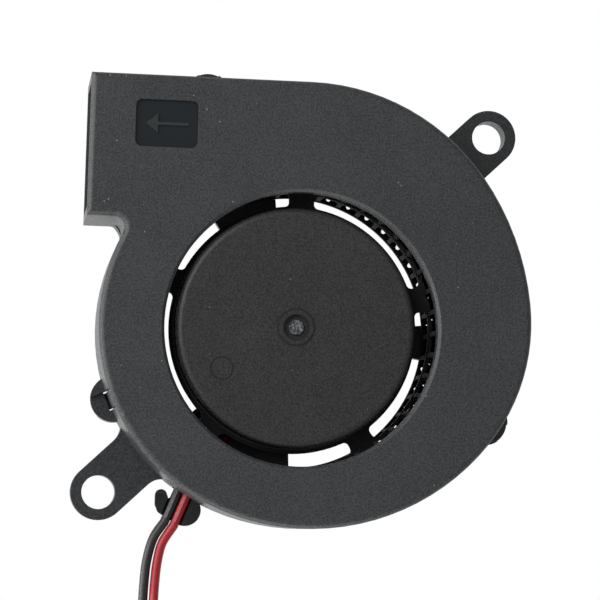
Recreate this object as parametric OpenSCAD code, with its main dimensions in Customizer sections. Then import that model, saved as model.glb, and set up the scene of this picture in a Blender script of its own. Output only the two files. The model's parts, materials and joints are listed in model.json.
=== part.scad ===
// DC blower fan, 60 x 60 x 15 mm class: snap-together volute housing, radial
// impeller on a four-pole brushless motor, two flying leads.
// The origin is the rotor axis on the underside of the base. +Z points to the inlet.

/* [Housing] */
// Overall height of the housing
body_h = 15; // [14.5:0.5:20]
// Gap between the blades and the side wall where the volute is narrowest
tongue_gap = 1.8; // [1.4:0.1:3]
// Distance from the rotor axis to the outlet face
outlet_x = 28.5; // [26:0.5:34]
// Width of the outlet, outside its walls
outlet_w = 19.2; // [17:0.2:20.4]
// Thickness of the side wall
wall = 1.2; // [1:0.1:1.6]
// Thickness of the base floor
floor_t = 1.5; // [1.2:0.1:1.8]
// Thickness of the cover plate
cover_t = 1.5; // [1.2:0.1:1.7]
// Radius of the rounded edge round the cover
edge_r = 0.8; // [0.4:0.1:0.9]
// Radius of the hollow corner between the outlet and the volute
tongue_r = 1.5; // [0.8:0.1:2.5]
// Bore of the inlet
inlet_d = 36.8; // [34:0.2:37.6]
// Depth of the lip round the inlet, below the underside of the cover
lip_h = 0.9; // [0.5:0.1:1.2]

/* [Mounting ears] */
// Diameter of the ear holes
ear_hole_d = 4.6; // [3:0.1:5]
// Radius of the rounded end of an ear
ear_r = 3.8; // [3.4:0.1:4.5]
// Thickness of the ears
ear_t = 3.4; // [2:0.1:4]
// Distance between the two ear holes
ear_span = 73.1; // [72.5:0.1:76]

/* [Impeller] */
// Number of blades
blade_count = 41; // [31:2:45]
// Outer radius of the blades
blade_r = 23.4; // [22.5:0.1:23.8]
// Inner radius of the blades
blade_in_r = 18.6; // [18.5:0.1:19]
// Thickness of a blade
blade_t = 0.6; // [0.4:0.05:0.7]
// Outer radius of the hub
hub_r = 16.1; // [16:0.1:16.4]
// Height of the hub's face above the underside of the base
hub_top = 14; // [13.6:0.1:14.2]
// Number of spokes between the hub and the blades
spoke_count = 5; // [3:1:8]
// Width of a spoke
spoke_w = 3; // [2:0.1:4]
// Running gap above and below the blades
blade_gap = 0.7; // [0.5:0.1:0.9]

/* [Motor] */
// Diameter of the shaft
shaft_d = 2; // [1.5:0.1:2.2]
// Outer diameter of the sleeve bearing
bearing_d = 5; // [4:0.1:5.2]
// Outer radius of the stator
stator_r = 12.2; // [11.6:0.1:12.4]
// Thickness of the lamination stack
stack_h = 3.6; // [2.5:0.1:4]
// Air gap between the stator and the magnet
air_gap = 0.5; // [0.3:0.1:0.6]
// Thickness of the magnet ring
magnet_t = 1.4; // [1:0.1:1.4]
// Thickness of the steel yoke
yoke_t = 0.6; // [0.4:0.05:0.6]
// Thickness of the circuit board
board_t = 0.8; // [0.6:0.1:1]

/* [Leads] */
// Outer diameter of one lead
lead_d = 1.3; // [1:0.1:1.4]

/* [Hidden] */
$fn = 96;
eps = 0.01;

// --- volute outline: five tangent arcs round the axis, then a straight outlet ---
// How much larger each arc is than the first, and the angle at which it ends.
volute_r = blade_r + tongue_gap + wall;
arc_growth = [0, 4.54, -0.47, 9.71, 3.05];
arc_end = [244.5, 322.5, 367, 396.5, 450];
arc_step = 4;
function unit(a) = [cos(a), sin(a)];
function arc_centre(i) = i == 0 ? [0, 0]
    : arc_centre(i - 1) + (arc_growth[i - 1] - arc_growth[i]) * unit(arc_end[i - 1]);
last_arc = len(arc_end) - 1;
outlet_top = arc_centre(last_arc)[1] + volute_r + arc_growth[last_arc];
outlet_low = outlet_top - outlet_w;
tongue_y = outlet_low - tongue_r;
tongue_x = -sqrt(pow(volute_r + tongue_r, 2) - pow(tongue_y, 2));
tongue_a = atan2(-tongue_y, -tongue_x);
function arc(c, r, a1, a2, step = arc_step) = let (n = max(1, ceil(abs(a2 - a1) / step)))
    [for (i = [0 : n]) c + r * unit(a1 + (a2 - a1) * i / n)];
function arc_start(i) = i == 0 ? 180 + tongue_a : arc_end[i - 1];
function front(p) = [for (i = [0 : len(p) - 2]) p[i]];
// The outline moved inwards by d, as points counter-clockwise.
function outline(d) = concat(
    [for (i = [0 : last_arc])
        each front(arc(arc_centre(i), volute_r + arc_growth[i] - d, arc_start(i), arc_end[i]))],
    [[arc_centre(last_arc)[0], outlet_top - d]],
    [[-outlet_x + d, outlet_top - d], [-outlet_x + d, outlet_low + d]],
    front(arc([tongue_x, tongue_y], tongue_r + d, 90, tongue_a, 12)));

// --- heights ---
wall_top = body_h - cover_t;
blade_bottom = floor_t + blade_gap + 0.3;
blade_top = wall_top - blade_gap;
lip_bottom = wall_top - lip_h;
ring_h = 0.8;
spoke_z = 8.2;
spoke_t = 1;
board_z = floor_t + 0.8;
board_top = board_z + board_t;
hub_bottom = board_top + 0.2;
hub_t = 1.2;
core_z = board_top + 1.9;
core_top = core_z + stack_h;
insulator_t = 0.5;
tube_top = core_top + 0.6;
seal_t = 0.4;

// --- motor radii ---
bearing_r = bearing_d / 2;
tube_r = bearing_r + 1.1;
shaft_r = shaft_d / 2;
magnet_in_r = stator_r + air_gap;
yoke_in_r = magnet_in_r + magnet_t;
yoke_r = yoke_in_r + yoke_t;
board_r = stator_r + 0.9;
chamber_z = 0.7;
thrust_t = 0.3;
shaft_end_z = chamber_z + thrust_t + 0.02;
bearing_z = shaft_end_z + 0.9;
bushing_r = shaft_r + 1.5;
bushing_h = 2.2;
poles = 4;
neck_w = 3.2;
coil_in_r = tube_r + 2.1;
coil_out_r = coil_in_r + 3.6;
coil_t = 1;
chip_r = 9.9;

// --- cover details ---
// The inlet's middle, off the rotor's axis.
inlet_c = [0.7, -0.2];
lip_t = 0.6;
bevel = 0.4;
plate_in = (edge_r + wall) / 2;
skirt_h = 0.7;
skirt_t = 0.7;

// --- base details ---
vent_in_r = 15.4;
vent_out_r = 20.8;
vents = [[5.5, 96.5], [124.5, 221.5], [272.5, 351]];
ear_mid = [0.98, 2.78];
ear_a = 44.1;
lug_r = 3.2;
lug_out = 2.35;
lug_t = 3;
// Two snap lugs as [arc, angle], and the place of the third along the straight top wall.
lug_arcs = [[0, 202.7], [2, 330.4]];
lug_top_x = -12;
lug_count = len(lug_arcs) + 1;
arm_w = 2.3;
arm_in = 0.2;
arm_t = 0.6;
arm_gap = 0.2;
arm_foot = 0.3;
barb = 0.8;
barb_h = 0.8;
bridge_z = arm_foot + barb_h + 0.1;
bridge_t = 1;
slot_w = arm_w + 2 * arm_gap;
pocket_t = arm_in + arm_t + 0.1;

// --- lead channel, hook and route ---
lead_r = lead_d / 2;
channel_floor = 0.45;
channel_a = 238.5;
channel_w = 2 * lead_d + 0.5;
channel_in_r = 9.4;
hook_t = 1.5;
lead_z = channel_floor + lead_r;
// Middle of the lead pair at the housing wall and at the outer edge of the hook.
pair_wall = (volute_r - 0.4) * unit(channel_a);
pair_hook = pair_wall + [-1.6, -4];
pair_a = atan2((pair_hook - pair_wall)[1], (pair_hook - pair_wall)[0]);
pair_off = lead_r + 0.03;

// The leads' free stretches. Each list goes from the hook to the coil.
black_route = [[-17.4, -28.6, 0.7], [-18.2, -31.6, 0.65], [-18.5, -35, 0.65],
    [-18.6, -39, 0.65], [-18.6, -42, 0.8], [-18.6, -45, 0.95]];
red_route = [[-16.2, -29.3, 0.75], [-16.8, -32, 0.65], [-17.05, -35, 0.65], [-17.15, -37.5, 0.85],
    [-17.4, -39.5, 1.3], [-17.9, -41.7, 1.95], [-18.4, -43.7, 2.25], [-18.6, -45, 2.3]];
// The tails go from the coil to the connector.
black_tail_route = [[-5, -58.2, 3.4], [-3, -58.3, 3.1], [-1, -58.4, 2.9], [1, -58.5, 2.8]];
red_tail_route = [[-5, -58.2, 4.8], [-3, -57.6, 4.4], [-1, -56.6, 3.4], [1, -56, 2.8]];
coil_c = [-10.4, -50];
coil_mid_r = 6.85;
coil_lift = 0.3;
coil_half_w = lead_r + 1.4;
coil_h = 4 * lead_d + 0.1;
tie_t = 0.25;
tie_w = 2;
plug_c = [6.4, -57.2];
plug_size = [9.8, 7.4, 5.6];
pin_pitch = 2.5;
plug_pin_z = 2.8;

// ---------------------------------------------------------------- helpers
module ring(r1, r2, h) {
    difference() {
        cylinder(r = r2, h = h);
        translate([0, 0, -1]) cylinder(r = r1, h = h + 2);
    }
}

// Part of an annulus between two angles, with rounded corners.
module sector(r1, r2, a1, a2, corner) {
    offset(r = corner, $fn = 24) offset(delta = -corner)
        polygon(concat(arc([0, 0], r2, a1, a2, 3), arc([0, 0], r1, a2, a1, 3)));
}

// A tube along a route of points, as one closed mesh of flat-sided rings.
tube_sides = 8;
function heading(p, i) = let (d = p[min(i + 1, len(p) - 1)] - p[max(i - 1, 0)]) d / norm(d);
function side_of(t) = let (s = cross(t, abs(t[2]) > 0.9 ? [1, 0, 0] : [0, 0, 1])) s / norm(s);
function tube_points(p, r) = [for (i = [0 : len(p) - 1])
    let (t = heading(p, i), s = side_of(t), u = cross(s, t))
        each [for (k = [0 : tube_sides - 1])
            p[i] + r * (cos(360 * k / tube_sides) * s + sin(360 * k / tube_sides) * u)]];
function tube_faces(n) = concat(
    [[for (k = [0 : tube_sides - 1]) k]],
    [for (i = [0 : n - 2], k = [0 : tube_sides - 1])
        let (a = i * tube_sides, b = (k + 1) % tube_sides)
            [a + k, a + tube_sides + k, a + tube_sides + b, a + b]],
    [[for (k = [tube_sides - 1 : -1 : 0]) (n - 1) * tube_sides + k]]);
module tube(p, r) {
    polyhedron(points = tube_points(p, r), faces = tube_faces(len(p)), convexity = 6);
}

// A band swept round the outline. Each profile point is [distance inwards, height].
module outline_band(profile) {
    rings = [for (q = profile) [for (p = outline(q[0])) [p[0], p[1], q[1]]]];
    n = len(rings[0]);
    m = len(profile);
    polyhedron(points = [for (r = rings) each r],
        faces = [for (j = [0 : m - 1], i = [0 : n - 1])
            let (a = j * n, b = ((j + 1) % m) * n, k = (i + 1) % n)
                [a + i, b + i, b + k, a + k]],
        convexity = 8);
}

// ---------------------------------------------------------------- base
// Where a snap lug's middle lies on the outer wall, and which way it faces.
function lug_frame(i) = i < len(lug_arcs)
    ? let (k = lug_arcs[i][0], a = lug_arcs[i][1])
        [arc_centre(k) + (volute_r + arc_growth[k]) * unit(a), a]
    : [[lug_top_x, outlet_top], 90];

module at_lug(i) {
    translate(lug_frame(i)[0]) rotate(lug_frame(i)[1]) children();
}

module ear_shape(side) {
    place = ear_mid + side * ear_span / 2 * unit(ear_a);
    inner = place - side * 11 * unit(ear_a);
    difference() {
        offset(r = -3) offset(delta = 3) union() {
            hull() {
                translate(place) circle(r = ear_r, $fn = 48);
                translate(inner) circle(r = ear_r, $fn = 48);
            }
            polygon(outline(wall / 2));
        }
        polygon(outline(wall / 2 + 0.3));
        translate(-side * 40 * unit(ear_a)) rotate(ear_a) translate([-20, -60]) square([40, 120]);
    }
}

module ear_hole(side) {
    translate(ear_mid + side * ear_span / 2 * unit(ear_a))
        translate([0, 0, -1]) cylinder(d = ear_hole_d, h = ear_t + 2);
}

module hook_shape() {
    translate(pair_wall) {
        hull() {
            translate([-3, -0.58]) circle(r = 0.8, $fn = 32);
            translate([-2.8, -1.73]) circle(r = 1, $fn = 32);
        }
        hull() {
            translate([-2.6, -2.23]) circle(r = 1, $fn = 32);
            translate([0.3, -2.53]) circle(r = 2.2, $fn = 32);
        }
        translate([0.2, -1.43]) square([2.6, 2.6], center = true);
    }
}

// The channel in which the leads run from the motor to the hook.
module lead_channel() {
    translate([0, 0, channel_floor]) linear_extrude(hook_t + lead_d) {
        rotate(channel_a) translate([channel_in_r, -channel_w / 2])
            square([norm(pair_wall) - channel_in_r + 0.4, channel_w]);
        translate(pair_wall) rotate(pair_a) translate([-0.8, -channel_w / 2]) square([7, channel_w]);
    }
}

module base_housing() color("#3a3c3e") {
    difference() {
        union() {
            linear_extrude(wall_top) difference() {
                polygon(outline(0));
                polygon(outline(wall));
                translate([-outlet_x - 1, outlet_low + wall]) square([6, outlet_w - 2 * wall]);
            }
            linear_extrude(floor_t) difference() {
                polygon(outline(wall / 2));
                for (v = vents) sector(vent_in_r, vent_out_r, v[0], v[1], 0.8);
            }
            linear_extrude(floor_t) translate([-outlet_x, outlet_low]) square([3, outlet_w]);
            for (side = [-1, 1]) linear_extrude(ear_t) ear_shape(side);
            linear_extrude(hook_t) hook_shape();
            for (i = [0 : lug_count - 1]) at_lug(i) linear_extrude(lug_t) difference() {
                translate([lug_out - lug_r, 0]) circle(r = lug_r);
                translate([-lug_r - 3, -lug_r - 1]) square([lug_r + 3 - wall / 2, 2 * lug_r + 2]);
            }
            cylinder(r = tube_r, h = tube_top);
            cylinder(r = tube_r + 0.8, h = board_z);
            for (k = [0 : 2]) rotate(60 + 120 * k) translate([board_r - 1.6, 0, 0])
                cylinder(r = 0.9, h = board_z, $fn = 32);
        }
        translate([0, 0, chamber_z]) cylinder(r = bearing_r, h = tube_top);
        for (side = [-1, 1]) ear_hole(side);
        for (i = [0 : lug_count - 1]) at_lug(i) {
            translate([-pocket_t, -slot_w / 2, -1]) cube([pocket_t + arm_gap, slot_w, body_h]);
            translate([eps, -slot_w / 2, -1]) cube([lug_r, slot_w, 1 + bridge_z]);
            translate([eps, -slot_w / 2, bridge_z + bridge_t]) cube([lug_r, slot_w, lug_t]);
        }
        lead_channel();
    }
}

// ---------------------------------------------------------------- cover
arrow_c = [-18.25, 26.6];
arrow_box = [8.4, 6.4];
recess_t = 0.5;
arrow_t = 0.3;

module rounded_box(size, r) {
    offset(r = r, $fn = 32) square([size[0] - 2 * r, size[1] - 2 * r], center = true);
}

module arrow_shape() {
    polygon([[-2.75, 0], [-1.2, 1.35], [-1.2, 0.2], [2.9, 0.2], [2.9, -0.2], [-1.2, -0.2],
        [-1.2, -1.35]]);
}

// A snap arm: a strap in the wall's pocket, with a barb that catches under the lug's bridge.
module snap_arm() {
    translate([-arm_in - arm_t, -arm_w / 2, arm_foot])
        cube([arm_t, arm_w, wall_top - arm_foot + cover_t / 2]);
    translate([-arm_in - arm_t / 2, -arm_w / 2, arm_foot])
        cube([arm_in + arm_t / 2 + barb, arm_w, barb_h]);
}

module top_cover() color("#3e4042") {
    fillet_steps = 5;
    difference() {
        union() {
            outline_band(concat(
                [[wall, wall_top], [0, wall_top]],
                [for (k = [0 : fillet_steps]) let (a = 90 * k / fillet_steps)
                    [edge_r * (1 - cos(a)), body_h - edge_r * (1 - sin(a))]],
                [[wall, body_h]]));
            translate([0, 0, wall_top]) linear_extrude(cover_t) polygon(outline(plate_in));
            translate([0, 0, wall_top - skirt_h]) linear_extrude(skirt_h + cover_t / 2) difference() {
                polygon(outline(wall + 0.1));
                polygon(outline(wall + 0.1 + skirt_t));
                translate([-outlet_x - 1, outlet_low]) square([5, outlet_w]);
            }
            translate([inlet_c[0], inlet_c[1], lip_bottom])
                cylinder(d = inlet_d + 2 * lip_t, h = lip_h + cover_t / 2);
        }
        translate([inlet_c[0], inlet_c[1], 0]) {
            translate([0, 0, lip_bottom - 1]) cylinder(d = inlet_d, h = body_h);
            translate([0, 0, body_h - bevel])
                cylinder(d1 = inlet_d, d2 = inlet_d + 2 * bevel + eps, h = bevel + eps);
        }
        translate([arrow_c[0], arrow_c[1], body_h - recess_t]) difference() {
            linear_extrude(1) rounded_box(arrow_box, 0.9);
            translate([0, 0, -1]) linear_extrude(1 + arrow_t) arrow_shape();
        }
    }
    for (i = [0 : lug_count - 1]) at_lug(i) snap_arm();
}

// ---------------------------------------------------------------- motor, fixed parts
module sleeve_bearing() color("#8a6f4a")
    translate([0, 0, bearing_z]) ring(shaft_r + 0.02, bearing_r, tube_top - seal_t - bearing_z);

module thrust_plate() color("#e8e4da")
    translate([0, 0, chamber_z]) cylinder(r = bearing_r - 0.3, h = thrust_t);

module oil_seal() color("#202020")
    translate([0, 0, tube_top - seal_t]) ring(shaft_r + 0.3, bearing_r, seal_t);

module circuit_board() color("#1f5c3a")
    translate([0, 0, board_z]) ring(tube_r, board_r, board_t);

module driver_chip() color("#1c1c1e")
    rotate(45) translate([chip_r, 0, board_top + 0.65]) cube([3.2, 4.2, 1.3], center = true);

module board_parts() color("#b59b6a") {
    rotate(135) translate([chip_r, 0, board_top + 0.4]) cube([1.6, 3, 0.8], center = true);
    rotate(315) translate([chip_r, 0, board_top + 0.5]) cube([1.8, 3.4, 1], center = true);
}

module lead_solder() color("#c8ccd0")
    for (s = [-1, 1]) rotate(channel_a) translate([channel_in_r + 1.4, s * pair_off, lead_z + lead_r])
        cylinder(r = 0.5, h = board_z - lead_z - lead_r, $fn = 24);

module pole_arms(r1, r2, w) {
    for (k = [0 : poles - 1]) rotate(360 / poles * k) translate([r1, -w / 2]) square([r2 - r1, w]);
}

module core_shape() {
    shoe_a = 36;
    difference() {
        union() {
            circle(r = tube_r + 1.6);
            pole_arms(tube_r + 1, stator_r - 1, neck_w);
            for (k = [0 : poles - 1]) rotate(360 / poles * k) intersection() {
                difference() {
                    circle(r = stator_r);
                    circle(r = stator_r - 1.6);
                }
                polygon(concat([[0, 0]], arc([0, 0], stator_r + 3, -shoe_a, shoe_a, 12)));
            }
        }
        circle(r = tube_r);
    }
}

module stator_core() color("#8d9196")
    translate([0, 0, core_z]) linear_extrude(stack_h) core_shape();

module insulator_shape() {
    difference() {
        union() {
            circle(r = tube_r + 1.8);
            pole_arms(tube_r + 1, coil_out_r + 0.7, neck_w);
        }
        circle(r = tube_r);
    }
}

module coil_stop(z, h) {
    for (k = [0 : poles - 1]) rotate(360 / poles * k)
        translate([coil_out_r + 0.1, -neck_w / 2 - 0.6, z]) cube([0.6, neck_w + 1.2, h]);
}

module upper_insulator() color("#e9e6dc") {
    translate([0, 0, core_top]) linear_extrude(insulator_t) insulator_shape();
    coil_stop(core_top, insulator_t + coil_t);
}

module lower_insulator() color("#e9e6dc") {
    low = core_z - insulator_t;
    translate([0, 0, low]) linear_extrude(insulator_t) {
        insulator_shape();
        for (k = [0 : 2]) rotate(135 + 90 * k) translate([tube_r + 1, -0.6]) square([4.4, 1.2]);
    }
    coil_stop(core_z - insulator_t - coil_t, insulator_t + coil_t);
    translate([0, 0, board_top]) ring(tube_r, tube_r + 0.8, low - board_top + eps);
}

module winding_pins() color("#c9a24a")
    for (k = [0 : 2]) rotate(135 + 90 * k) translate([tube_r + 4.6, 0, board_top])
        cylinder(r = 0.35, h = core_z - insulator_t - board_top, $fn = 24);

module stator_coils() color("#b4622d")
    for (k = [0 : poles - 1]) rotate(360 / poles * k)
        translate([coil_in_r, 0, (core_z + core_top) / 2]) rotate([90, 0, 90])
            linear_extrude(coil_out_r - coil_in_r) difference() {
                square([neck_w + 2 * coil_t, stack_h + 2 * (insulator_t + coil_t)], center = true);
                square([neck_w + 0.02, stack_h + 2 * insulator_t], center = true);
            }

// ---------------------------------------------------------------- rotor
skirt_z = spoke_z - 0.6;
spoke_first = 15.5;
blade_sweep = 9;
blade_steps = 5;
blade_root_r = blade_in_r + 0.1;
step_r = inlet_d / 2 + 0.6 + 1.1;
step_z = lip_bottom - blade_gap;
// The web under the blades, with a drain hole and a small vent hole in each space between them.
web_out_r = blade_in_r + 2.1;
drain_r = blade_in_r + 0.8;
drain_turn = 0.2;
vent_hole_r = drain_r + 0.7;
vent_hole_turn = 2.65;
rim_w = 0.5;

// One side of a blade: it leans forward as it goes out. side is -1 or 1.
function blade_side(radii, side) = [for (r = radii)
    let (s = (r - blade_root_r) / (blade_r - blade_root_r),
        a = blade_sweep * s * s,
        slope = r * 2 * blade_sweep * s / (blade_r - blade_root_r) * PI / 180,
        n = unit(a + 90) - slope * unit(a))
        r * unit(a) + side * blade_t / 2 * n / norm(n)];

module blade_shape(radii) {
    back = blade_side(radii, 1);
    polygon(concat(blade_side(radii, -1), [for (i = [len(back) - 1 : -1 : 0]) back[i]]));
}

module blade() {
    outer = [for (i = [0 : blade_steps]) step_r + (blade_r - step_r) * i / blade_steps];
    linear_extrude(step_z - blade_bottom) blade_shape(concat([blade_root_r], outer));
    linear_extrude(blade_top - blade_bottom) blade_shape(outer);
}

module web() linear_extrude(ring_h) difference() {
    circle(r = web_out_r);
    circle(r = blade_in_r);
    for (k = [0 : blade_count - 1]) rotate(360 / blade_count * (k + 0.5) + drain_turn) {
        translate([drain_r, 0]) polygon([[0.37, -0.34], [0.37, 0.34], [0, 0.34], [-0.25, 0.22],
            [-0.37, 0], [-0.25, -0.22], [0, -0.34]]);
        rotate(vent_hole_turn) translate([vent_hole_r, 0])
            polygon([[0.15, -0.2], [0.15, 0.2], [-0.15, 0]]);
    }
}

// The hub's section, from the shaft's bore out to the skirt.
module hub_section() {
    face_r = 0.9;
    roof_z = hub_top - hub_t;
    boss_r = shaft_r + 1.3;
    dish_r = shaft_r + 0.7;
    polygon(concat(
        [[yoke_r, skirt_z], [hub_r, skirt_z]],
        arc([hub_r - face_r, hub_top - face_r], face_r, 0, 90, 12),
        [[boss_r, hub_top], [boss_r, hub_top + 0.15], [dish_r, hub_top + 0.15],
            [dish_r, hub_top - 0.5], [shaft_r, hub_top - 0.5], [shaft_r, roof_z],
            [yoke_r, roof_z]]));
}

module spoke_window() {
    half = asin((spoke_w / 2 + 0.1) / (hub_r + rim_w));
    rotate(spoke_first) sector(hub_r + 0.7, blade_in_r, half, 360 / spoke_count - half, 0.7);
}

module impeller() color("#2f3132") {
    difference() {
        rotate_extrude() hub_section();
        translate([-9.8, -5.8, hub_top - 0.08]) cylinder(r = 1.55, h = 1, $fn = 64);
    }
    translate([0, 0, spoke_z]) linear_extrude(spoke_t) difference() {
        circle(r = blade_in_r + rim_w);
        circle(r = hub_r - 0.3);
        for (k = [0 : spoke_count - 1]) rotate(360 / spoke_count * k) spoke_window();
    }
    translate([0, 0, blade_bottom]) {
        web();
        for (k = [0 : blade_count - 1]) rotate(360 / blade_count * k) blade();
    }
}

module rotor_yoke() color("#7f858b") difference() {
    translate([0, 0, hub_bottom + 0.2]) cylinder(r = yoke_r, h = hub_top - hub_t - hub_bottom - 0.2);
    translate([0, 0, hub_bottom]) cylinder(r = yoke_in_r, h = hub_top - hub_t - yoke_t - hub_bottom);
    translate([0, 0, -1]) cylinder(r = bushing_r, h = body_h + 2);
}

module magnet_ring() color("#26282b")
    translate([0, 0, hub_bottom + 0.4]) ring(magnet_in_r, yoke_in_r, 2 * (core_z - hub_bottom) + stack_h);

module shaft_bushing() color("#b08d4a")
    translate([0, 0, hub_top - hub_t - bushing_h]) ring(shaft_r, bushing_r, bushing_h);

groove_z = 0.3;
groove_h = 0.3;
module shaft() color("#c4c8cc") difference() {
    translate([0, 0, shaft_end_z]) cylinder(r = shaft_r, h = hub_top - 0.1 - shaft_end_z);
    translate([0, 0, shaft_end_z + groove_z]) ring(shaft_r - 0.25, shaft_r + 1, groove_h);
}

module retaining_clip() color("#dcdccf")
    translate([0, 0, shaft_end_z + groove_z + 0.02])
        ring(shaft_r - 0.25, shaft_r + 0.6, groove_h - 0.04);

// ---------------------------------------------------------------- leads
// A lead from under the board, along the channel and over the hook. side is -1 or 1.
function lifted(p, z) = [p[0], p[1], z];
function beside(a, side) = side * pair_off * unit(a + 90);
function inner_route(side) = [
    lifted(channel_in_r * 1.1 * unit(channel_a) + beside(channel_a, side), lead_z),
    lifted(14 * unit(channel_a) + beside(channel_a, side), lead_z),
    lifted(18 * unit(channel_a) + beside(channel_a, side), lead_z),
    lifted(22 * unit(channel_a) + beside(channel_a, side), lead_z),
    lifted(pair_wall - 1.5 * unit(channel_a) + beside(channel_a, side), lead_z),
    lifted(pair_wall + beside((channel_a + 360 + pair_a) / 2, side), lead_z),
    lifted(pair_wall + 1.5 * unit(pair_a) + beside(pair_a, side), lead_z),
    lifted(pair_hook + beside(pair_a, side), lead_z)];
function past_hook(side, run) = lifted(pair_hook + run * unit(pair_a) + beside(pair_a, side), lead_z);
function free_route(side, route) = concat([past_hook(side, 0), past_hook(side, 0.5)], route);

module red_lead_inner() color("#a01c28") tube(inner_route(1), lead_r);
module black_lead_inner() color("#1a1a1c") tube(inner_route(-1), lead_r);
module red_lead() color("#a01c28") tube(free_route(1, red_route), lead_r);
module black_lead() color("#1a1a1c") tube(free_route(-1, black_route), lead_r);

module lead_coil() color("#5a1a22")
    translate([coil_c[0], coil_c[1], coil_lift])
        ring(coil_mid_r - coil_half_w, coil_mid_r + coil_half_w, coil_h);

module coil_tie() color("#ececec")
    translate([coil_c[0], coil_c[1], coil_lift + coil_h / 2]) rotate(20)
        translate([coil_mid_r, tie_w / 2, 0]) rotate([90, 0, 0]) linear_extrude(tie_w) difference() {
            square([2 * coil_half_w + 0.3 + 2 * tie_t, coil_h + 0.04 + 2 * tie_t], center = true);
            square([2 * coil_half_w + 0.3, coil_h + 0.04], center = true);
        }

module red_tail() color("#a01c28") tube(red_tail_route, lead_r);
module black_tail() color("#1a1a1c") tube(black_tail_route, lead_r);

module pin_places() {
    for (s = [-1, 1]) translate([plug_c[0], plug_c[1] + s * pin_pitch / 2, plug_pin_z])
        rotate([0, 90, 0]) children();
}

module connector_housing() color("#ecebe4") difference() {
    translate([plug_c[0], plug_c[1], plug_size[2] / 2]) cube(plug_size, center = true);
    pin_places() cylinder(r = 0.8, h = plug_size[0] + 2, center = true, $fn = 32);
}

module connector_contacts() color("#cfd2d4")
    pin_places() translate([0, 0, -plug_size[0] / 2 + 1]) cylinder(r = 0.75, h = 7, $fn = 32);

base_housing();
top_cover();
sleeve_bearing();
thrust_plate();
oil_seal();
circuit_board();
driver_chip();
board_parts();
lead_solder();
lower_insulator();
stator_core();
upper_insulator();
stator_coils();
winding_pins();
impeller();
rotor_yoke();
magnet_ring();
shaft_bushing();
shaft();
retaining_clip();
red_lead_inner();
black_lead_inner();
red_lead();
black_lead();
lead_coil();
coil_tie();
red_tail();
black_tail();
connector_housing();
connector_contacts();
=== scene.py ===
"""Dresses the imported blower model: leads, connector, softened mouldings, finishes, stage and camera."""

import json
import math

import bmesh
import bpy
from mathutils import Matrix, Vector


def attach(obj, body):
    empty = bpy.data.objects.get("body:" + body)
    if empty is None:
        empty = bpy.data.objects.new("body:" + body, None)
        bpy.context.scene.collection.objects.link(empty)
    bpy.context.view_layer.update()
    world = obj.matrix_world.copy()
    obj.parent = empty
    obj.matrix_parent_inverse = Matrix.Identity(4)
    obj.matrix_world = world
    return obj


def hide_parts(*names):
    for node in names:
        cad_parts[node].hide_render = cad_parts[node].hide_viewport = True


bl_info = {
    "name": "Centrifugal Blower",
    "version": (1, 0, 0),
    "blender": (4, 5, 0),
    "location": "View3D > Sidebar > Blower",
    "description": "Dresses a small centrifugal blower with its leads, finishes and stage",
    "category": "Object",
}

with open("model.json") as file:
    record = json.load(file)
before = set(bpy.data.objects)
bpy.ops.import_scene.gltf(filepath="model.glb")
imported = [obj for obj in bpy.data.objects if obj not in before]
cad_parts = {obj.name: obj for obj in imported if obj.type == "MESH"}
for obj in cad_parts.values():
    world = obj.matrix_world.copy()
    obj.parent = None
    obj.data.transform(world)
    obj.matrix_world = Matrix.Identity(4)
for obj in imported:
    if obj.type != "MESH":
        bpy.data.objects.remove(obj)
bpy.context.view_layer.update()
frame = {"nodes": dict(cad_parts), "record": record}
MM = 0.001


# ---------------------------------------------------------------- settings
def colour(name, description, default):
    """A colour that a user can change."""
    return bpy.props.FloatVectorProperty(
        name=name, description=description, default=default, size=3, min=0, max=1, subtype="COLOR"
    )


def distance(name, description, default):
    """A length in metres that a user can change."""
    return bpy.props.FloatProperty(
        name=name, description=description, default=default, min=0, precision=5, unit="LENGTH"
    )


class BlowerColours(bpy.types.PropertyGroup):
    cover: colour("Cover", "Moulded cover with the inlet", (0.026, 0.028, 0.0295))
    base: colour("Base", "Moulded base with ears and hook", (0.020, 0.0215, 0.023))
    rotor: colour("Impeller", "Blades and hub", (0.016, 0.0168, 0.0162))
    red: colour("Red lead", "Insulation of the supply lead", (0.30, 0.008, 0.016))
    black: colour("Black lead", "Insulation of the return lead", (0.012, 0.012, 0.013))
    nylon: colour("Nylon", "Connector, insulators and tie", (0.80, 0.78, 0.70))
    board: colour("Board", "Solder mask of the circuit board", (0.015, 0.12, 0.05))
    copper: colour("Copper", "Enamelled winding wire", (0.55, 0.20, 0.07))
    steel: colour("Steel", "Yoke, core and shaft", (0.45, 0.46, 0.48))
    floor: colour("Floor", "Pale floor under the blower", (0.9, 0.9, 0.9))


class BlowerSizes(bpy.types.PropertyGroup):
    lead_diameter: distance("Lead diameter", "Outside of the insulation", 1.3 * MM)
    grain: distance("Grain", "Width of the moulded texture's grains", 0.25 * MM)
    edge: distance("Edge", "Softening of the cover's edges", 0.14 * MM)
    base_edge: distance("Base edge", "Softening of the base's edges", 0.28 * MM)
    blade_edge: distance("Blade edge", "Softening of the blades' edges", 0.06 * MM)
    coil_radius: distance("Coil radius", "Outer turn of the coiled leads", 8.2 * MM)
    coil_step: distance("Coil step", "Distance between two turns side by side", 1.35 * MM)


def colours():
    return bpy.context.scene.blower_colours


def sizes():
    return bpy.context.scene.blower_sizes


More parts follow.
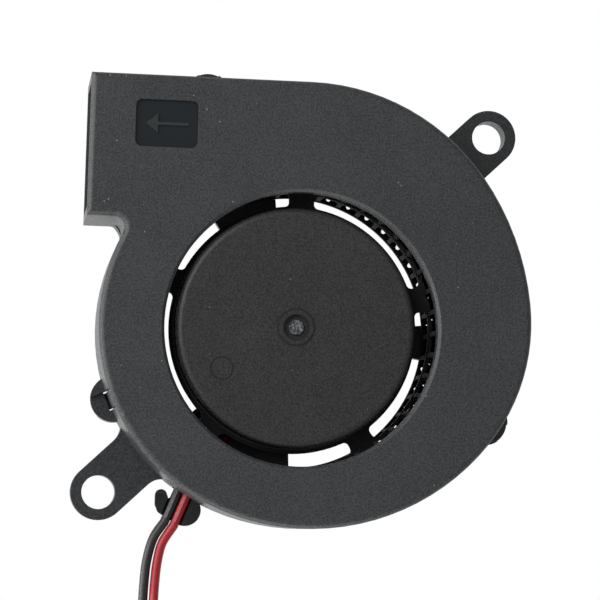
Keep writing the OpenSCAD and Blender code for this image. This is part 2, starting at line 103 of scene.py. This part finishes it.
# ---------------------------------------------------------------- shader maths
class Value:
    """A shader socket. Sums and products of it add Math nodes."""

    def __init__(self, shader, socket):
        self.shader, self.socket = shader, socket

    def _math(self, operation, first, second):
        return self.shader.node("ShaderNodeMath", {"operation": operation}, {0: first, 1: second})

    def __add__(self, other):
        return self._math("ADD", self, other)

    def __sub__(self, other):
        return self._math("SUBTRACT", self, other)

    def __rsub__(self, other):
        return self._math("SUBTRACT", other, self)

    def __mul__(self, other):
        return self._math("MULTIPLY", self, other)

    def __lt__(self, other):
        return self._math("LESS_THAN", self, other)

    def __gt__(self, other):
        return self._math("GREATER_THAN", self, other)

    __radd__ = __add__
    __rmul__ = __mul__


class Shader:
    """A material, built node by node."""

    def __init__(self, name, **constants):
        self.material = bpy.data.materials.new(name)
        self.material.use_nodes = True
        self.tree = self.material.node_tree
        self.tree.nodes.clear()
        self.surface = self.tree.nodes.new("ShaderNodeBsdfPrincipled")
        output = self.tree.nodes.new("ShaderNodeOutputMaterial")
        self.tree.links.new(self.surface.outputs[0], output.inputs[0])
        for socket, value in constants.items():
            self.surface.inputs[socket.replace("_", " ")].default_value = value

    def node(self, kind, settings=(), inputs=(), output=0):
        made = self.tree.nodes.new(kind)
        for name, value in dict(settings).items():
            if name == "stops":
                ramp = made.color_ramp
                for at, shade in value:
                    stop = ramp.elements.new(at)
                    stop.color = (shade, shade, shade, 1)
                ramp.elements.remove(ramp.elements[0])
                ramp.elements.remove(ramp.elements[-1])
            else:
                setattr(made, name, value)
        for name, value in dict(inputs).items():
            if isinstance(value, Value):
                self.tree.links.new(value.socket, made.inputs[name])
            else:
                made.inputs[name].default_value = value
        return Value(self, made.outputs[output])

    def where(self, stretch=(1, 1, 1)):
        place = self.node("ShaderNodeTexCoord", output="Object")
        return self.node("ShaderNodeMapping", {}, {"Vector": place, "Scale": stretch})

    def noise(self, width, detail=2.0, rough=0.5, stretch=(1, 1, 1)):
        return self.node(
            "ShaderNodeTexNoise",
            {"noise_dimensions": "3D"},
            {"Vector": self.where(stretch), "Scale": 1 / width, "Detail": detail, "Roughness": rough},
            "Fac",
        )

    def along(self):
        """The piece's own x, y and z in millimetres."""
        place = self.node("ShaderNodeTexCoord", output="Object")
        return [self.node("ShaderNodeSeparateXYZ", {}, {"Vector": place}, axis) * (1 / MM) for axis in "XYZ"]

    def beyond(self, centre, radius):
        """1 outside an upright cylinder, in millimetres."""
        x, y, _ = self.along()
        x, y = x - centre[0], y - centre[1]
        return x * x + y * y > radius * radius

    def ring(self, centre, radius, width):
        """1 in a narrow upright ring round a centre, in millimetres."""
        return self.beyond(centre, radius - width / 2) * (1 - self.beyond(centre, radius + width / 2))

    def box(self, centre, size, top):
        """1 inside an upright box of the given centre and size, below its top, in millimetres."""
        along = self.along()
        inside = along[2] < top
        for value, middle, length in zip(along, centre, size):
            inside = inside * (value > middle - length / 2) * (value < middle + length / 2)
        return inside

    def ramp(self, value, stops):
        return self.node("ShaderNodeValToRGB", {"stops": stops}, {"Fac": value}, "Color")

    def mix(self, factor, first, second):
        made = self.tree.nodes.new("ShaderNodeMix")
        made.data_type = "RGBA"
        for socket, value in ((made.inputs[0], factor), (made.inputs[6], first), (made.inputs[7], second)):
            if isinstance(value, Value):
                self.tree.links.new(value.socket, socket)
            else:
                socket.default_value = value
        return Value(self, made.outputs[2])

    def bump(self, height, depth):
        return self.node("ShaderNodeBump", {}, {"Height": height, "Distance": depth, "Strength": 1.0})

    def feed(self, **sockets):
        for socket, value in sockets.items():
            self.tree.links.new(value.socket, self.surface.inputs[socket.replace("_", " ")])
        return self.material


def shade(base, factor):
    """A colour made lighter or darker, with its alpha."""
    return tuple(min(1.0, c * factor) for c in base) + (1.0,)


# ---------------------------------------------------------------- finishes
SPECK_STEP = 0.9 * MM
SPECK_PATCH = 1.7 * MM
SPECK_RARITY = 0.66
SPECK_SHARE = 0.11
SPECK_COLOUR = (0.20, 0.205, 0.205, 1)
BLACK = (0, 0, 0, 1)
RECESS_TINT = (0.12, 0.24, 0.3)
RECESS_ROUGHNESS = 0.34
ARROW_BELOW_TOP = 0.27
TRACK_STEP = 2.4 * MM
WIRE_STEP = 1.1 * MM


def moulded(name, base, rough=0.5, grain=1.0, depth=0.05 * MM, specks=0.0, spread=0.6, plain=None, painted_shade=()):
    """Black plastic from a spark-eroded mould: fine grain, faint flow marks and a few pale specks.

    spread is how far the grain's tone strays from the base colour, and plain is an optional
    (centre, size, top) box in millimetres in which the surface is smooth and darker. The last argument
    lists the places where shade is painted in, darkening the colour towards black, each as a mask's method,
    its arguments and a share.
    """
    s = Shader(name, Specular_IOR_Level=0.38)
    width = sizes().grain * grain
    fine = s.noise(width, 2.0, 0.55)
    coarse = s.noise(width * 2.9, 2.0, 0.6)
    flow = s.noise(9 * MM, 3.0, 0.55)
    tone = s.ramp(0.66 * fine + 0.2 * coarse + 0.14 * flow, ((0.40, 0.0), (0.60, 1.0)))
    surface = s.mix(tone, shade(base, 1 - spread), shade(base, 1 + spread))
    if specks:
        place = {"Vector": s.where(), "Scale": 1 / SPECK_STEP}
        dots = s.node("ShaderNodeTexVoronoi", {"feature": "F1"}, place, "Distance")
        gate = s.noise(SPECK_PATCH, 1.0) > SPECK_RARITY
        pale = (SPECK_SHARE - dots > 0.0) * gate * specks
        surface = s.mix(pale, surface, SPECK_COLOUR)
    roughness = s.ramp(fine, ((0.35, rough - 0.08), (0.65, rough + 0.12)))
    # Painted shade: each listed place is mixed towards black and made a little rougher.
    for method, place, share in painted_shade:
        mask = getattr(s, method)(*place)
        surface = s.mix(mask * share, surface, BLACK)
        roughness = roughness + mask * (0.3 * share)
    height = 0.75 * fine + 0.25 * coarse
    if plain:
        inside = s.box(*plain)
        raised = inside * (1 - s.box(*plain[:2], plain[2] - ARROW_BELOW_TOP))
        surface = s.mix(inside, surface, tuple(c * tint for c, tint in zip(base, RECESS_TINT)) + (1,))
        surface = s.mix(raised, surface, shade(base, 0.75))
        roughness = roughness * (1 - inside) + RECESS_ROUGHNESS * inside
        height = height * (1 - inside)
    return s.feed(Base_Color=surface, Roughness=roughness, Normal=s.bump(height, depth))


def insulation(name, base):
    """Extruded lead insulation: a soft sheen, faint drag lines and handling marks."""
    s = Shader(name, Specular_IOR_Level=0.5)
    marks = s.noise(0.5 * MM, 3.0, 0.6)
    fine = s.noise(0.09 * MM, 2.0, 0.5)
    surface = s.mix(marks, shade(base, 0.72), shade(base, 1.3))
    return s.feed(
        Base_Color=surface,
        Roughness=s.ramp(marks, ((0.3, 0.34), (0.7, 0.5))),
        Normal=s.bump(fine, 0.008 * MM),
    )


def metal(name, base, rough, stretch=(1, 1, 1)):
    """Bare metal with fine working marks."""
    s = Shader(name, Metallic=1.0)
    marks = s.noise(0.22 * MM, 3.0, 0.6, stretch)
    surface = s.mix(marks, shade(base, 0.8), shade(base, 1.15))
    return s.feed(
        Base_Color=surface,
        Roughness=s.ramp(marks, ((0.3, rough - 0.08), (0.7, rough + 0.1))),
        Normal=s.bump(marks, 0.004 * MM),
    )


def turned_end(name, base):
    """Cut steel rod: a dull, speckled end with small torn marks."""
    s = Shader(name, Metallic=0.7)
    torn = s.noise(0.30 * MM, 3.0, 0.7)
    return s.feed(
        Base_Color=s.mix(s.ramp(torn, ((0.42, 0.0), (0.58, 1.0))), shade(base, 0.06), shade(base, 0.42)),
        Roughness=s.ramp(torn, ((0.4, 0.5), (0.6, 0.7))),
        Normal=s.bump(torn, 0.15 * MM),
    )


def natural_nylon(name, base):
    """Unpigmented nylon: slightly translucent, with faint flow lines."""
    s = Shader(name, Subsurface_Weight=0.25, Subsurface_Radius=(1.0, 0.9, 0.7), Subsurface_Scale=0.6 * MM)
    flow = s.noise(1.6 * MM, 3.0, 0.6)
    fine = s.noise(0.14 * MM, 2.0, 0.5)
    return s.feed(
        Base_Color=s.mix(flow, shade(base, 0.9), shade(base, 1.06)),
        Roughness=s.ramp(fine, ((0.3, 0.33), (0.7, 0.47))),
        Normal=s.bump(fine, 0.006 * MM),
    )


def solder_mask(name, base):
    """Printed board under its mask, with copper showing as a paler green."""
    s = Shader(name)
    place = {"Vector": s.where(), "Scale": 1 / TRACK_STEP}
    tracks = s.node("ShaderNodeTexVoronoi", {"feature": "DISTANCE_TO_EDGE"}, place)
    copper = tracks > 0.09
    return s.feed(
        Base_Color=s.mix(copper, shade(base, 0.7), shade(base, 1.5)),
        Roughness=s.ramp(s.noise(0.4 * MM), ((0.3, 0.3), (0.7, 0.42))),
        Normal=s.bump(copper, 0.02 * MM),
    )


def winding(name, base):
    """Enamelled wire laid in layers."""
    s = Shader(name, Metallic=0.75)
    layers = s.node(
        "ShaderNodeTexWave",
        {"wave_type": "BANDS", "bands_direction": "DIAGONAL"},
        {"Vector": s.where(), "Scale": 1 / WIRE_STEP, "Distortion": 0.6},
        "Fac",
    )
    return s.feed(
        Base_Color=s.mix(layers, shade(base, 0.55), shade(base, 1.2)),
        Roughness=s.ramp(layers, ((0.2, 0.42), (0.8, 0.28))),
        Normal=s.bump(layers, 0.03 * MM),
    )


# Centre and size of the arrow recess, and a height just below the cover's face
ARROW_RECESS = ((-18.25, 26.6), (8.5, 6.5), 14.9)
HUB_RADIUS = 16.3
PIN_MARK = (-9.8, -5.8)
# Painted shade on the impeller: the blades beyond the hub's rim, which lie in shadow under the cover, and
# dark lines in the creases at the boss's steps round the shaft and round the pin mark.
ROTOR_SHADE = (
    ("beyond", ((0, 0), HUB_RADIUS), 0.85),
    ("ring", ((0, 0), 1.75, 0.22), 0.7),
    ("ring", ((0, 0), 2.5, 0.2), 0.7),
    ("ring", (PIN_MARK, 1.5, 0.16), 0.75),
)
# Painted shade on the hook and the lowest part of the base round it, which lie in deep shadow.
BASE_SHADE = (("box", ((-15.2, -26.5), (10, 7.8), 1.6), 0.8),)
FINISHES = {}


def finishes():
    """Every finish by the record's slot name, made once."""
    if not FINISHES:
        FINISHES.update(make_finishes(colours()))
    return FINISHES


def make_finishes(c):
    """The finishes themselves, by slot name."""
    return {
        "cover_plastic": moulded("cover_plastic", c.cover, 0.5, 1.0, 0.05 * MM, 0.8, 0.4, ARROW_RECESS),
        "housing_plastic": moulded("housing_plastic", c.base, 0.38, 1.0, 0.02 * MM, 0.4, 0.3, painted_shade=BASE_SHADE),
        "impeller_plastic": moulded(
            "impeller_plastic", c.rotor, 0.48, 0.9, 0.05 * MM, 0.5, 0.5, painted_shade=ROTOR_SHADE
        ),
        "chip_black": moulded("chip_black", (0.02, 0.02, 0.022), 0.45, 0.5, 0.006 * MM),
        "black_rubber": moulded("black_rubber", (0.014, 0.014, 0.014), 0.7, 0.5, 0.006 * MM),
        "magnet": moulded("magnet", (0.03, 0.03, 0.034), 0.62, 0.7, 0.006 * MM),
        "red_pvc": insulation("red_pvc", c.red),
        "black_pvc": insulation("black_pvc", c.black),
        "solder": metal("solder", (0.72, 0.73, 0.74), 0.3),
        "core_steel": metal("core_steel", c.steel, 0.38, (1, 1, 6)),
        "shaft_steel": turned_end("shaft_steel", c.steel),
        "bearing_bronze": metal("bearing_bronze", (0.42, 0.27, 0.13), 0.4),
        "white_plastic": natural_nylon("white_plastic", c.nylon),
        "connector_nylon": natural_nylon("connector_nylon", c.nylon),
        "board_green": solder_mask("board_green", c.board),
        "copper_wire": winding("copper_wire", c.copper),
    }


def finish(piece, slot):
    piece.data.materials.clear()
    piece.data.materials.append(finishes()[slot])


def slot_of(node):
    for part in frame["record"]["subparts"]:
        if part["node"] == node:
            return part["material_slot"]
    raise RuntimeError("no finish is listed for " + node)


def dress(*nodes):
    """Gives carried-over CAD nodes their own finishes."""
    for node in nodes:
        piece = frame["nodes"][node]
        piece.data.materials.clear()
        piece.data.materials.append(finishes()[slot_of(node)])


# ---------------------------------------------------------------- mesh helpers
def new_piece(name, mesh, body, slot, replaced=()):
    piece = bpy.data.objects.new(name, mesh)
    bpy.context.scene.collection.objects.link(piece)
    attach(piece, body)
    if replaced:
        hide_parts(*replaced)
    finish(piece, slot)
    return piece


def softened(node, name, body, width, angle=32, segments=2):
    """The node's own form with its sharp edges rounded, as a moulding has them."""
    mesh = frame["nodes"][node].data.copy()
    shape = bmesh.new()
    shape.from_mesh(mesh)
    bmesh.ops.remove_doubles(shape, verts=shape.verts, dist=0.002 * MM)
    bmesh.ops.dissolve_limit(
        shape, angle_limit=math.radians(0.6), verts=shape.verts, edges=shape.edges, delimit={"NORMAL"}
    )
    shape.to_mesh(mesh)
    shape.free()
    mesh.name = name
    piece = new_piece(name, mesh, body, slot_of(node), [node])
    mesh.shade_smooth()
    mesh.set_sharp_from_angle(angle=math.radians(angle))
    bevel = piece.modifiers.new("edges", "BEVEL")
    bevel.width = width
    bevel.segments = segments
    bevel.limit_method = "ANGLE"
    bevel.angle_limit = math.radians(angle)
    bevel.use_clamp_overlap = True
    normals = piece.modifiers.new("normals", "WEIGHTED_NORMAL")
    normals.keep_sharp = True
    return piece


# ---------------------------------------------------------------- leads
HOOK_END = {"red": (-14.554, -26.421, 1.1), "black": (-15.816, -25.916, 1.1)}
ROUTES = {
    "red": ((-14.739, -26.886, 1.1), (-16.2, -29.3, 0.75), (-16.8, -32, 0.65), (-17.05, -35, 0.65),
            (-17.15, -37.5, 0.85), (-17.4, -39.5, 1.3), (-17.9, -41.7, 1.95), (-18.4, -43.7, 2.25),
            (-18.6, -45, 2.3)),
    "black": ((-16.002, -26.381, 1.1), (-17.4, -28.6, 0.7), (-18.2, -31.6, 0.65), (-18.5, -35, 0.65),
              (-18.6, -39, 0.65), (-18.6, -42, 0.8), (-18.6, -46, 0.95)),
}
TAILS = {
    "red": ((-5, -58.2, 4.8), (-3, -57.6, 4.4), (-1, -56.6, 3.4), (1, -56, 2.8)),
    "black": ((-5, -58.2, 3.4), (-3, -58.3, 3.1), (-1, -58.4, 2.9), (1, -58.5, 2.8)),
}
COIL_CENTRE = (-10.4, -50)
COIL_TURNS = 4.25
COIL_HALF = 2
LAYER_RISE = 2.6


def smooth_step(t):
    t = min(1.0, max(0.0, t))
    return t * t * (3 - 2 * t)


def coil_points(height, per_turn=36):
    """The wound stretch: inwards on the lower layer, then outwards on the upper one, in millimetres."""
    radius, step = sizes().coil_radius / MM, sizes().coil_step / MM
    points = []
    for i in range(int(COIL_TURNS * per_turn) + 1):
        t = i / per_turn
        r = radius - step * t if t <= COIL_HALF else radius - step * max(0.0, 2 * COIL_HALF - t)
        a = math.radians(180 + 360 * t)
        z = height + LAYER_RISE * smooth_step((t - 1.7) / 0.45)
        points.append((COIL_CENTRE[0] + r * math.cos(a), COIL_CENTRE[1] + r * math.sin(a), z))
    return points


def curve_through(points, spacing=0.5):
    """Evenly spaced points on a smooth curve through the given ones, in millimetres."""
    p = [Vector(q) for q in points]
    p = [2 * p[0] - p[1]] + p + [2 * p[-1] - p[-2]]
    fine = []
    for a, b, c, d in zip(p, p[1:], p[2:], p[3:]):
        n = max(2, int((c - b).length / 0.1))
        for i in range(n):
            t = i / n
            fine.append(
                0.5 * (2 * b + (c - a) * t + (2 * a - 5 * b + 4 * c - d) * t * t
                       + (3 * b - a - 3 * c + d) * t * t * t)
            )
    fine.append(p[-2])
    out, run = [fine[0]], 0.0
    for a, b in zip(fine, fine[1:]):
        run += (b - a).length
        if run >= spacing:
            out.append(b)
            run = 0.0
    if (out[-1] - fine[-1]).length < spacing / 2:
        out.pop()
    return out + [fine[-1]]


def lead_curve(name, points, slot, replaced):
    """A round lead along the points, as one open spline."""
    data = bpy.data.curves.new(name, "CURVE")
    data.dimensions = "3D"
    data.bevel_depth = 1
    data.bevel_resolution = 6
    data.use_fill_caps = True
    spline = data.splines.new("POLY")
    spline.points.add(len(points) - 1)
    for point, place in zip(spline.points, points):
        point.co = (place[0] * MM, place[1] * MM, place[2] * MM, 1)
        point.radius = sizes().lead_diameter / 2
    spline.use_smooth = True
    piece = bpy.data.objects.new(name, data)
    bpy.context.scene.collection.objects.link(piece)
    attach(piece, "housing")
    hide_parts(*replaced)
    data.materials.append(finishes()[slot])
    return piece


def path_length(points):
    return sum((b - a).length for a, b in zip(points, points[1:])) * MM


class BLOWER_OT_leads(bpy.types.Operator):
    """Lays the two leads from the hook to the coil and on to the connector"""

    bl_idname = "blower.leads"
    bl_label = "Leads"

    def execute(self, context):
        replaced = {
            "red": ["red_lead", "red_tail", "lead_coil"],
            "black": ["black_lead", "black_tail"],
        }
        height = {"red": 2.25, "black": 0.95}
        plug = make_connector()
        tie = make_tie()
        for shade_name in ("red", "black"):
            wound = coil_points(height[shade_name])
            points = curve_through(
                [HOOK_END[shade_name], *ROUTES[shade_name], *wound, *TAILS[shade_name]]
            )
            piece = lead_curve(
                "lead_" + shade_name, points, shade_name + "_pvc", replaced[shade_name]
            )
            path_length(points)
        return {"FINISHED"}


def make_connector():
    """The plug on the leads' end: nylon shell and two crimped contacts."""
    dress("connector_housing", "connector_contacts")
    shell = softened("connector_housing", "plug_shell", "housing", 0.25 * MM, segments=3)
    return [shell, frame["nodes"]["connector_contacts"]]


def make_tie():
    return softened("coil_tie", "lead_tie", "housing", 0.08 * MM)


# ---------------------------------------------------------------- housing, cover and rotor
class BLOWER_OT_cover(bpy.types.Operator):
    """Makes the softened cover with its inlet, arrow recess and snap arms"""

    bl_idname = "blower.cover"
    bl_label = "Cover"

    def execute(self, context):
        softened("top_cover", "cover_moulding", "housing", sizes().edge)
        return {"FINISHED"}


class BLOWER_OT_base(bpy.types.Operator):
    """Makes the softened base with its ears, lugs and hook"""

    bl_idname = "blower.base"
    bl_label = "Base"

    def execute(self, context):
        softened("base_housing", "base_moulding", "housing", sizes().base_edge)
        return {"FINISHED"}


class BLOWER_OT_impeller(bpy.types.Operator):
    """Makes the impeller with its hub face and blades"""

    bl_idname = "blower.impeller"
    bl_label = "Impeller"

    def execute(self, context):
        softened("impeller", "impeller_moulding", "rotor", sizes().blade_edge)
        return {"FINISHED"}


class BLOWER_OT_motor(bpy.types.Operator):
    """Gives the motor's parts and the inner leads their finishes"""

    bl_idname = "blower.motor"
    bl_label = "Motor"

    def execute(self, context):
        dress(
            "sleeve_bearing", "thrust_plate", "oil_seal", "circuit_board", "driver_chip",
            "board_parts", "lead_solder", "lower_insulator", "stator_core", "upper_insulator",
            "stator_coils", "winding_pins", "rotor_yoke", "magnet_ring", "shaft_bushing",
            "shaft", "retaining_clip", "red_lead_inner", "black_lead_inner",
        )
        return {"FINISHED"}


# ---------------------------------------------------------------- stage
CAMERA_PLACE = (-0.0405003, -0.0282456, 0.399)
CAMERA_AXES = (
    (0.9937123, 0.0295658, 0.1079892),
    (-0.0381807, 0.9961748, 0.0785997),
    (-0.1052523, -0.0822286, 0.9910401),
)


class BLOWER_OT_camera(bpy.types.Operator):
    """Places the camera above the inlet, with a long lens"""

    bl_idname = "blower.camera"
    bl_label = "Camera"

    def execute(self, context):
        data = bpy.data.cameras.new("camera")
        data.lens = 174
        data.sensor_width = 36
        data.clip_start = 0.01
        camera = bpy.data.objects.new("camera", data)
        context.scene.collection.objects.link(camera)
        camera.matrix_world = Matrix.Translation(CAMERA_PLACE) @ Matrix(CAMERA_AXES).transposed().to_4x4()
        context.scene.camera = camera
        return {"FINISHED"}


def area_light(name, place, aim, size, power):
    data = bpy.data.lights.new(name, "AREA")
    data.shape = "RECTANGLE"
    data.size, data.size_y = size
    data.energy = power
    light = bpy.data.objects.new(name, data)
    bpy.context.scene.collection.objects.link(light)
    light.location = place
    light.rotation_euler = (Vector(aim) - Vector(place)).to_track_quat("-Z", "Y").to_euler()
    return light


class BLOWER_OT_stage(bpy.types.Operator):
    """Lays the pale floor and sets the soft studio lights"""

    bl_idname = "blower.stage"
    bl_label = "Stage"

    def execute(self, context):
        scene = context.scene
        scene.view_settings.view_transform = "Standard"
        floor_mesh = bpy.data.meshes.new("floor")
        shape = bmesh.new()
        bmesh.ops.create_grid(shape, x_segments=1, y_segments=1, size=1.5)
        bmesh.ops.translate(shape, verts=shape.verts, vec=(0, 0, -0.0001))
        shape.to_mesh(floor_mesh)
        shape.free()
        floor = bpy.data.objects.new("floor", floor_mesh)
        scene.collection.objects.link(floor)
        s = Shader("floor_paper", Roughness=0.9, Base_Color=shade(colours().floor, 1.0))
        seen = s.node("ShaderNodeLightPath", output="Is Camera Ray")
        for ray in ("Is Glossy Ray", "Is Transmission Ray"):
            seen = seen + s.node("ShaderNodeLightPath", output=ray)
        glow = s.tree.nodes.new("ShaderNodeEmission")
        glow.inputs[0].default_value = (1, 1, 1, 1)
        mixed = s.tree.nodes.new("ShaderNodeMixShader")
        output = next(n for n in s.tree.nodes if n.type == "OUTPUT_MATERIAL")
        s.tree.links.new(seen.socket, mixed.inputs[0])
        s.tree.links.new(s.surface.outputs[0], mixed.inputs[1])
        s.tree.links.new(glow.outputs[0], mixed.inputs[2])
        s.tree.links.new(mixed.outputs[0], output.inputs[0])
        floor_mesh.materials.append(s.material)
        world = bpy.data.worlds.new("studio")
        scene.world = world
        world.use_nodes = True
        world.node_tree.nodes["Background"].inputs[0].default_value = (1, 1, 1, 1)
        world.node_tree.nodes["Background"].inputs[1].default_value = 0.42
        area_light("key", (-0.45, 0.30, 0.50), (0, 0, 0.01), (0.45, 0.45), 4.2)
        area_light("left_strip", (-0.50, -0.10, 0.16), (0, 0, 0.01), (0.2, 0.5), 1.6)
        area_light("low_left", (-0.60, 0.05, 0.035), (0, 0, 0.01), (0.6, 0.06), 2.4)
        area_light("low_front", (-0.10, -0.60, 0.035), (0, 0, 0.01), (0.6, 0.06), 2.4)
        area_light("front_fill", (-0.05, -0.55, 0.22), (0, 0, 0.01), (0.6, 0.2), 0.8)
        return {"FINISHED"}


# ---------------------------------------------------------------- panel and run
class BLOWER_PT_panel(bpy.types.Panel):
    """Lists the blower's pieces and settings"""

    bl_idname = "BLOWER_PT_panel"
    bl_label = "Blower"
    bl_space_type = "VIEW_3D"
    bl_region_type = "UI"
    bl_category = "Blower"

    def draw(self, context):
        for maker in OPERATORS:
            self.layout.operator(maker.bl_idname)
        for group in (context.scene.blower_colours, context.scene.blower_sizes):
            box = self.layout.box()
            for name in group.bl_rna.properties.keys():
                if name not in ("rna_type", "name"):
                    box.prop(group, name)


OPERATORS = (
    BLOWER_OT_camera,
    BLOWER_OT_leads,
    BLOWER_OT_stage,
    BLOWER_OT_cover,
    BLOWER_OT_base,
    BLOWER_OT_impeller,
    BLOWER_OT_motor,
)
CLASSES = (BlowerColours, BlowerSizes, BLOWER_PT_panel) + OPERATORS


def register():
    for item in CLASSES:
        bpy.utils.register_class(item)
    bpy.types.Scene.blower_colours = bpy.props.PointerProperty(type=BlowerColours)
    bpy.types.Scene.blower_sizes = bpy.props.PointerProperty(type=BlowerSizes)


def unregister():
    del bpy.types.Scene.blower_colours
    del bpy.types.Scene.blower_sizes
    for item in reversed(CLASSES):
        bpy.utils.unregister_class(item)


def main():
    register()
    for maker in OPERATORS:
        family, call = maker.bl_idname.split(".")
        getattr(getattr(bpy.ops, family), call)()
    bpy.context.view_layer.update()


if __name__ == "__main__":
    main()
